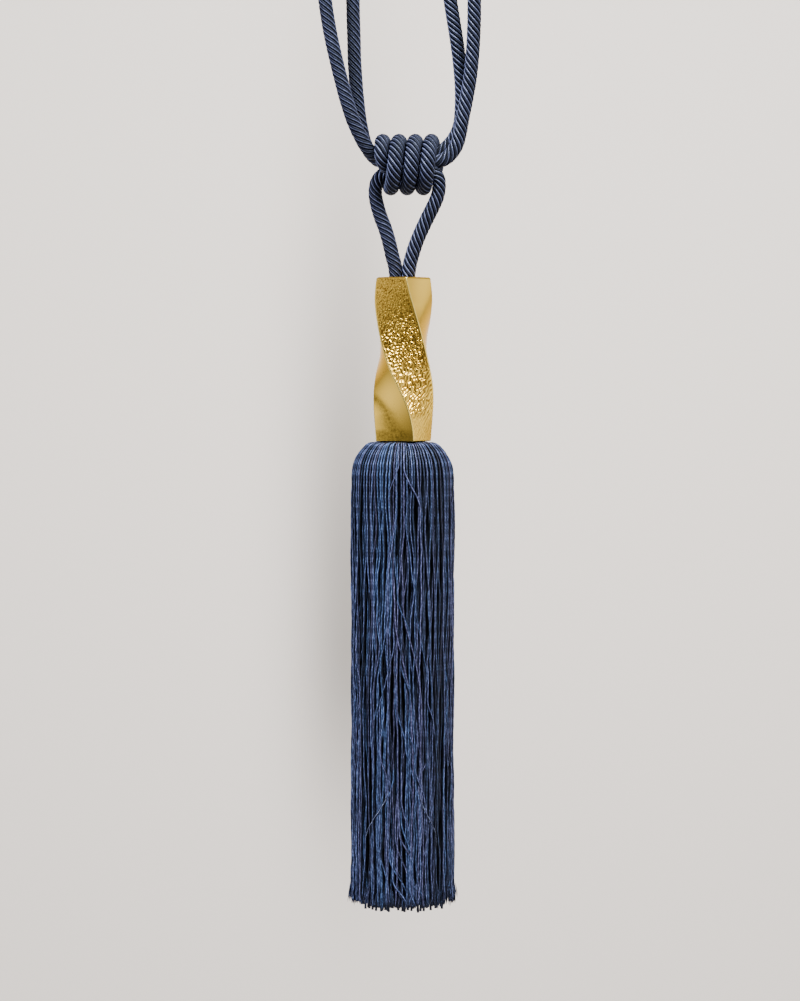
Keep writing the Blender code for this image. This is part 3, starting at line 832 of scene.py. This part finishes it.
# A yarn's waves, as ranges in mm of their reach and their length: slow and quick ones
# sideways, its crimp sideways, and one outwards.
WAVES = [((0.3, 1.5), (60, 150)), ((0.05, 0.3), (18, 34)),
         ((0.02, 0.09), (4.5, 8.0)), ((0.1, 0.45), (35, 80))]

FREEING = (6 * MM, 34 * MM)  # it sways freely below the shoulder: start, length
SINKING = 24 * MM  # length over which a sunk one sinks
RISING = 22 * MM  # likewise, a leaning one comes up from below
RISE_FROM = 2.8 * MM  # how deep a leaning one starts
SPLAYING = 14 * MM  # length over which its end spreads


def hang_stations(spacing):
    """Places down a hanging yarn: radius, depth and its slope's outward normal."""
    line = smooth_line([(r * MM, 0.0, d * MM, 0.0) for r, d in HANG], 12)
    rows = spaced_line(line, spacing)
    return [(row.x, row.z, ahead.z, ahead.x) for row, ahead in zip(rows, headings(rows))]


class Yarn:
    """One yarn's own habits, drawn once: where it hangs and how it waves."""

    def __init__(self, draw, angle, inset, length):
        self.angle, self.inset, self.length = angle, inset, length
        self.calm = 1.0  # share of its slow wave that is left
        self.waves = [(draw.uniform(*reach) * MM, draw.uniform(*span) * MM,
                       draw.uniform(0, math.tau)) for reach, span in WAVES]
        self.splay = draw.uniform(-0.5, 0.6) * MM
        self.lean = draw.uniform(-0.8, 0.8) * MM
        self.start = 0.0
        self.lead = None
        # Some sink between the others from a depth of their own.
        self.sunk = (draw.uniform(50, 160) * MM, draw.uniform(1.0, 1.6) * MM
                     if draw.random() < SUNK_SHARE else 0.0)

    def place(self, station):
        """The yarn's middle at a station of the hang."""
        radius, depth, outward, rise = station
        free = past(depth, FREEING)
        slow, quick, crimp, lift = [reach * math.sin(math.tau * depth / span + start)
                                    for reach, span, start in self.waves]
        sway = (slow * self.calm + quick) * free + crimp
        out = lift * free - self.inset
        if self.lead:
            out -= RISE_FROM * (1 - past(depth, (self.start, RISING)))
        else:
            out -= self.sunk[1] * past(depth, (self.sunk[0], SINKING))
        end = past(depth, (self.length - SPLAYING, SPLAYING))
        radius += out * outward + self.splay * end
        depth -= out * rise
        angle = self.angle
        if self.lead:
            x0, d0, x1, d1 = self.lead
            angle += (x0 + (x1 - x0) * past(depth, (d0, d1 - d0))) / radius
        angle += (sway + self.lean * end) / radius
        return Vector((*polar(angle, radius), COLLAR_FOOT - depth))


def scattered(draw, number, count, loose):
    """The direction of one of a ring of yarns, which are loosely spaced."""
    return math.tau * (number + draw.uniform(-loose, loose)) / count


def yarn_tint(draw, low, high):
    """A yarn's own shade: how light it is, and a slight lean to violet or teal."""
    light, hue = draw.uniform(low, high), draw.uniform(-1.0, 1.0)
    return (light * (1 + 0.22 * hue), light * (1 - 0.06 * hue), light * (1 - 0.1 * hue))


def add_yarn(strands, yarn, stations, radius, corners, tint):
    """Lay one yarn into the strands, its section turning as two twisted plies."""
    points = [yarn.place(station) for station in stations
              if yarn.start <= station[1] < yarn.length]
    rings = []
    count = len(points)
    for index in range(count):
        thinned = min(1.0, (count - 1 - index) / 3 + 0.2, index / 3 + 0.3)
        section = []
        for corner in range(corners):
            angle = math.tau * corner / corners
            ply = math.cos(2 * (angle - index * PLY_TURN))
            reach = radius * thinned * (1 + PLY_RIDGE * ply)
            # The crown, 1 on the yarn's outward side and 0 round its back, lays its
            # painted highlight and painted shade.
            section.append((*polar(angle, reach),
                            max(0.0, math.cos(angle)) * (0.9 + 0.1 * ply), angle))
        rings.append(section)
    strands.add(points, rings, tint, hung_directions)


def finish_skirt_piece(strands, name, settings):
    piece = strands.make(name, yarn_finish(
        "navy_crimped_yarn", settings, roughness=0.32, lustre=0.34, ply=1.7))
    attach(piece, "root")
    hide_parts("skirt")


class TASSEL_OT_outer_yarns(bpy.types.Operator):
    """Add the outermost yarns of the skirt and those that lean across them"""
    bl_idname = "tassel.outer_yarns"
    bl_label = "Outer Yarns"

    def execute(self, context):
        settings = context.scene.tassel_skirt
        draw = random.Random(SEED)
        stations = hang_stations(YARN_SPACING)
        strands = Strands()
        for number in range(settings.outer):
            yarn = Yarn(draw, scattered(draw, number, settings.outer, 0.3),
                        draw.uniform(-0.1, 0.6) * MM,
                        settings.length + draw.uniform(-1.3, 1.3) * MM)
            add_yarn(strands, yarn, stations,
                     settings.yarn_radius * draw.uniform(0.7, 1.25),
                     YARN_CORNERS, yarn_tint(draw, 0.25, 1.4))
        finish_skirt_piece(strands, "skirt_outer_yarns", settings)
        strands = Strands()
        for quarter in range(QUARTERS):
            for x0, d0, x1, d1 in LEANS:
                loose = draw.uniform(-0.8, 0.8) if quarter else 0.0
                side = -1 if quarter % 2 else 1
                yarn = Yarn(draw, FRONT + quarter * math.tau / QUARTERS,
                            draw.uniform(-0.5, -0.1) * MM,
                            settings.length + draw.uniform(-1.3, 1.3) * MM)
                yarn.calm = 0.4
                yarn.start = (d0 - draw.uniform(18, 34)) * MM
                yarn.lead = [(side * x0 + loose) * MM, d0 * MM,
                             (side * x1 + loose) * MM, d1 * MM]
                add_yarn(strands, yarn, stations,
                         settings.yarn_radius * draw.uniform(0.65, 0.95),
                         YARN_CORNERS, yarn_tint(draw, 0.8, 1.6))
        for number in range(FRAYED):
            yarn = Yarn(draw, scattered(draw, number, FRAYED, 0.5),
                        draw.uniform(-0.5, 1.2) * MM,
                        settings.length + draw.uniform(-1.5, 1.4) * MM)
            yarn.start = yarn.length - draw.uniform(7, 13) * MM
            yarn.splay = draw.uniform(-0.5, 2.2) * MM
            yarn.lean = draw.uniform(-1.9, 1.9) * MM
            yarn.sunk = (0.0, 0.0)
            add_yarn(strands, yarn, stations,
                     settings.yarn_radius * draw.uniform(0.32, 0.5),
                     FINE_CORNERS, yarn_tint(draw, 0.5, 1.5))
        finish_skirt_piece(strands, "skirt_leaning_yarns", settings)
        return {"FINISHED"}


DEEP_YARNS = 90

# In mm, as radius and depth: the head that the yarns are bound to, and their neck.
# Both are painted near black as painted shade; the neck fills the gap under the
# collar's foot, a painted shadow.
HEAD = [
    (0.6, 4), (8, 4.01), (13, 4.2), (16.6, 6.6), (19, 11), (20.2, 18), (20.3, 60),
    (20.3, 110), (20, 150), (17, 151), (8, 151.01), (0.6, 151.02),
]
NECK = [
    (6.2, -4), (6.3, -0.8), (9.6, -0.65), (11.6, -0.5), (12.6, 0.3), (13.6, 2),
    (15.6, 3.8), (17.4, 5.9), (18.9, 8.8), (19.8, 13), (20.1, 18),
]
HEAD_CORNERS = 48
# Near black: painted shade on the head and the neck.
HEAD_PAINTED_SHADE = (0.02, 0.02, 0.02)

# The yarns that fill the skirt's end: radius of each ring in mm, and its yarns.
CORE_RINGS = [
    (1.6, 6), (3.8, 14), (6, 22), (8.2, 30), (10.4, 38), (12.6, 46), (14.8, 54),
    (17, 60), (19.2, 66),
]
CORE_TOP = 150 * MM  # below it the core's yarns hang apart
CORE_STEPS = 8


def add_turned(strands, profile, crown):
    """A round solid about the tassel's axis, hidden under the yarns and painted near
    black as painted shade.
    """
    strands.add(
        [Vector((0.0, 0.0, COLLAR_FOOT - depth * MM)) for _, depth in profile],
        [round_section(radius * MM, HEAD_CORNERS, crown) for radius, _ in profile],
        HEAD_PAINTED_SHADE)


class TASSEL_OT_under_yarns(bpy.types.Operator):
    """Add the skirt's hidden layers, its bound core and the yarns inside its end"""
    bl_idname = "tassel.under_yarns"
    bl_label = "Under Yarns"

    def execute(self, context):
        settings = context.scene.tassel_skirt
        draw = random.Random(SEED + 1)
        strands = Strands()
        # Yarns, inset, space between rings, corners and lightness of each layer; the
        # deeper layers are painted darker, the deepest near black, as painted shade.
        for count, inset, spacing, corners, tint in (
                (settings.under, 1.25 * MM, 1.9 * MM, 5, 0.6),
                (DEEP_YARNS, 2.4 * MM, 6.0 * MM, 3, 0.03)):
            stations = hang_stations(spacing)
            for number in range(count):
                yarn = Yarn(draw, scattered(draw, number, count, 0.35),
                            inset + draw.uniform(-0.25, 0.25) * MM,
                            settings.length + draw.uniform(-1.6, 1.6) * MM)
                yarn.sunk = (0.0, 0.0)
                add_yarn(strands, yarn, stations, settings.yarn_radius, corners,
                         yarn_tint(draw, tint * 0.3, tint * 1.3))
        finish_skirt_piece(strands, "skirt_under_yarns", settings)

        core = Strands()
        add_turned(core, HEAD, 0.4)
        add_turned(core, NECK, 0.0)
        for radius, count in CORE_RINGS:
            for number in range(count):
                angle = scattered(draw, number, count, 0.35)
                reach = (radius + draw.uniform(-0.6, 0.6)) * MM
                length = settings.length + draw.uniform(-1.0, 3.0) * MM
                line = []
                for step in range(CORE_STEPS + 1):
                    depth = CORE_TOP + (length - CORE_TOP) * step / CORE_STEPS
                    sway = angle + 0.5 * MM * math.sin(depth / MM / 6 + number) / reach
                    line.append(Vector((*polar(sway, reach), COLLAR_FOOT - depth)))
                size = settings.yarn_radius * 1.15
                # The core's yarns are painted darker than the outer ones: painted shade
                # inside the skirt's end.
                core.add(line, [round_section(size, FINE_CORNERS, 0.8, step)
                                for step in range(CORE_STEPS + 1)],
                         yarn_tint(draw, 0.2, 0.7))
        finish_skirt_piece(core, "skirt_core", settings)
        return {"FINISHED"}


class TASSEL_OT_strays(bpy.types.Operator):
    """Add the fine loose ends that cross the front of the skirt"""
    bl_idname = "tassel.strays"
    bl_label = "Loose Ends"

    def execute(self, context):
        settings = context.scene.tassel_skirt
        draw = random.Random(SEED + 2)
        stations = hang_stations(YARN_SPACING)
        strands = Strands()
        for quarter in (0, 2):
            for x0, d0, x1, d1 in STRAYS:
                yarn = Yarn(draw, FRONT + quarter * math.tau / QUARTERS, -1.25 * MM,
                            (d1 + draw.uniform(0.0, 4.0)) * MM)
                yarn.start = (d0 - 10) * MM
                yarn.lead = [x0 * MM, d0 * MM, x1 * MM, d1 * MM]
                add_yarn(strands, yarn, stations, settings.yarn_radius * 0.48,
                         FINE_CORNERS, STRAY_TINT)
        finish_skirt_piece(strands, "skirt_loose_ends", settings)
        return {"FINISHED"}


# ---- stage ----

VIEW_X = -1.2 * MM  # the middle of the view, on the tassel's plane
VIEW_Z = -305.4 * MM
VIEW_HEIGHT = 473.0 * MM
CAMERA_RISE = 60.0 * MM  # the camera above the middle that it looks at
SENSOR = 36.0
FLOOR = -2.6  # Z
BACKDROP = 2.7  # Y
STAGE_HALF_WIDTH = 3.2
WARM = (1.0, 0.985, 0.96)
AIR_SEEN = 1.5  # strength of the air where the camera sees it past the stage
AIR_LIGHT = 0.13  # likewise, as light on the tassel

# The soft shadow painted on the backdrop, left of the tassel and seen past it: painted
# shade, not cast by the tassel.
SHADE_MIDDLE = (-0.066, -0.59)  # X and Z on the backdrop
SHADE_WIDTH = 0.072
SHADE_SIZE = (0.58, 0.255)  # above and below its middle
SHADE_DEPTH = 0.4  # share of the backdrop's colour in its middle


def add_area(name, place, target, size, power, colour, mirrored=True):
    """A soft lamp, which the collar mirrors or not."""
    bpy.ops.object.light_add(type="AREA", location=place)
    lamp = bpy.context.object
    lamp.name = name
    lamp.data.shape = "RECTANGLE"
    lamp.data.size, lamp.data.size_y = size
    lamp.data.energy = power
    lamp.data.color = colour
    aim = Vector(target) - Vector(place)
    lamp.rotation_euler = aim.to_track_quat("-Z", "Y").to_euler()
    lamp.visible_glossy = mirrored


class TASSEL_OT_stage(bpy.types.Operator):
    """Add the floor, the backdrop, the lights and the camera"""
    bl_idname = "tassel.stage"
    bl_label = "Stage"

    def execute(self, context):
        settings = context.scene.tassel_stage
        bpy.ops.object.select_all(action="DESELECT")
        bpy.ops.mesh.primitive_plane_add(size=1.0)
        floor = context.object
        floor.name = "studio_sweep"
        for vert in floor.data.vertices:
            vert.co = (vert.co.x * 2 * STAGE_HALF_WIDTH,
                       BACKDROP if vert.co.y > 0 else -STAGE_HALF_WIDTH, FLOOR)
        bpy.ops.object.mode_set(mode="EDIT")
        bpy.ops.mesh.select_all(action="DESELECT")
        bpy.ops.object.mode_set(mode="OBJECT")
        for edge in floor.data.edges:
            edge.select = all(floor.data.vertices[v].co.y > 0 for v in edge.vertices)
        bpy.ops.object.mode_set(mode="EDIT")
        bpy.ops.mesh.extrude_edges_move(
            TRANSFORM_OT_translate={"value": (0.0, 0.0, 2 * STAGE_HALF_WIDTH)})
        bpy.ops.object.mode_set(mode="OBJECT")
        finish = Finish("studio_paint")
        x, _, z = finish.parts(finish.node("TexCoord").outputs["Object"])
        # Painted shadow: the backdrop is darkened in a soft patch left of the tassel.
        above = finish.maths("MULTIPLY", finish.maths("MAXIMUM", finish.maths(
            "SUBTRACT", z, SHADE_MIDDLE[1]), 0.0), SHADE_SIZE[1] / SHADE_SIZE[0])
        below = finish.maths("MINIMUM", finish.maths("SUBTRACT", z, SHADE_MIDDLE[1]), 0.0)
        shade = finish.maths(
            "MULTIPLY", finish.hump(x, SHADE_MIDDLE[0], SHADE_WIDTH),
            finish.hump(finish.maths("ADD", above, below), 0.0, SHADE_SIZE[1]))
        finish.drive(Base_Color=finish.mix(
            shade, rgba(settings.backdrop), rgba(settings.backdrop, SHADE_DEPTH)),
            Roughness=0.9)
        floor.data.materials.append(finish.material)
        self.add_air(context)

        upper = (0.0, 0.0, -0.2)
        add_area("key_light", (0.6, -0.9, 0.95), (0.0, 0.0, VIEW_Z), (0.35, 0.35),
                 settings.key, WARM)
        add_area("top_light", (0.1, -0.4, 0.75), (0.0, 0.0, -0.25), (0.35, 0.35), 21.0,
                 (0.95, 0.97, 1.0))
        add_area("fill_light", (-1.3, -0.6, 0.5), upper, (0.6, 0.5), 90.0,
                 (0.97, 0.98, 1.0), mirrored=False)
        add_area("side_light", (1.2, -0.8, 0.5), upper, (0.25, 0.5), 30.0, WARM,
                 mirrored=False)
        add_area("back_wash", (0.3, 0.6, 0.8), (0.2, BACKDROP, VIEW_Z), (2.4, 0.8),
                 101.0, (1.0, 0.98, 0.955))

        camera = bpy.data.objects.new("camera", bpy.data.cameras.new("camera"))
        context.scene.collection.objects.link(camera)
        camera.location = (VIEW_X, -settings.camera_distance, VIEW_Z + CAMERA_RISE)
        camera.rotation_euler = (
            math.pi / 2 - math.atan(CAMERA_RISE / settings.camera_distance), 0.0, 0.0)
        camera.data.sensor_width = SENSOR
        camera.data.lens = SENSOR * settings.camera_distance / VIEW_HEIGHT
        camera.data.clip_start = 0.01
        context.scene.camera = camera
        return {"FINISHED"}

    def add_air(self, context):
        """The pale air round the stage, with what the metal mirrors of it."""
        world = bpy.data.worlds.new("studio_air")
        world.use_nodes = True
        air = Nodes(world.node_tree)
        x, y, z = air.parts(air.node("TexCoord").outputs["Generated"])
        ray = air.node("LightPath").outputs
        sides = air.maths("MULTIPLY_ADD", air.maths("MULTIPLY", x, x),
                          air.maths("ADD", air.ranged(x, -0.6, 0.8, 0.85, 1.8),
                                   air.ranged(x, -1.0, -0.5, 0.9, 0.0)), 0.02)
        # Mirrored on the left: a dark band, and duller air under it.  High on the
        # right it is duller too.
        left = air.ranged(x, -0.3, -0.7, 0.0, 1.0)
        right = air.ranged(x, 0.3, 0.7, 0.0, 0.45)
        level = air.maths("MULTIPLY_ADD", y, -0.35, air.maths("SUBTRACT", z, 0.125))
        low = air.maths("ADD", air.ranged(level, -0.12, -0.02, 0.32, 0.0),
                        air.maths("MULTIPLY", air.hump(level, 0.012, 0.065), 0.95))
        high = air.ranged(z, 0.05, 0.3, 0.0, 1.0)
        shaded = air.maths("MULTIPLY_ADD", left, low, air.maths("MULTIPLY", right, high))
        mirrored = air.maths("MULTIPLY", sides, air.maths("SUBTRACT", 1.0, shaded))
        strength = air.maths("MULTIPLY_ADD", ray["Is Glossy Ray"], mirrored, air.maths(
            "MULTIPLY_ADD", ray["Is Camera Ray"], AIR_SEEN, air.maths(
                "MULTIPLY", ray["Is Diffuse Ray"], AIR_LIGHT)))
        background = world.node_tree.nodes["Background"]
        background.inputs["Color"].default_value = (1.0, 0.985, 0.97, 1.0)
        world.node_tree.links.new(strength, background.inputs["Strength"])
        context.scene.world = world


# ---- panel and registration ----

OPERATORS = (TASSEL_OT_loop_cords, TASSEL_OT_tassel_cord, TASSEL_OT_collar,
             TASSEL_OT_outer_yarns, TASSEL_OT_under_yarns, TASSEL_OT_strays,
             TASSEL_OT_stage)
SETTINGS = {
    "tassel_cord": TasselCordSettings,
    "tassel_collar": TasselCollarSettings,
    "tassel_skirt": TasselSkirtSettings,
    "tassel_stage": TasselStageSettings,
}


class TASSEL_PT_panel(bpy.types.Panel):
    bl_idname = "TASSEL_PT_panel"
    bl_label = "Tieback Tassel"
    bl_space_type = "VIEW_3D"
    bl_region_type = "UI"
    bl_category = "Tassel"

    def draw(self, context):
        for name, group in SETTINGS.items():
            box = self.layout.box()
            settings = getattr(context.scene, name)
            for key in group.__annotations__:
                box.prop(settings, key)
        for operator in OPERATORS:
            self.layout.operator(operator.bl_idname)


def register():
    for group in (*SETTINGS.values(), *OPERATORS, TASSEL_PT_panel):
        bpy.utils.register_class(group)
    for name, group in SETTINGS.items():
        setattr(bpy.types.Scene, name, bpy.props.PointerProperty(type=group))


def unregister():
    for name in SETTINGS:
        delattr(bpy.types.Scene, name)
    for group in (TASSEL_PT_panel, *reversed(OPERATORS), *SETTINGS.values()):
        bpy.utils.unregister_class(group)


def main():
    register()
    bpy.ops.tassel.loop_cords()
    bpy.ops.tassel.tassel_cord()
    bpy.ops.tassel.collar()
    bpy.ops.tassel.outer_yarns()
    bpy.ops.tassel.under_yarns()
    bpy.ops.tassel.strays()
    bpy.ops.tassel.stage()


if __name__ == "__main__":
    main()
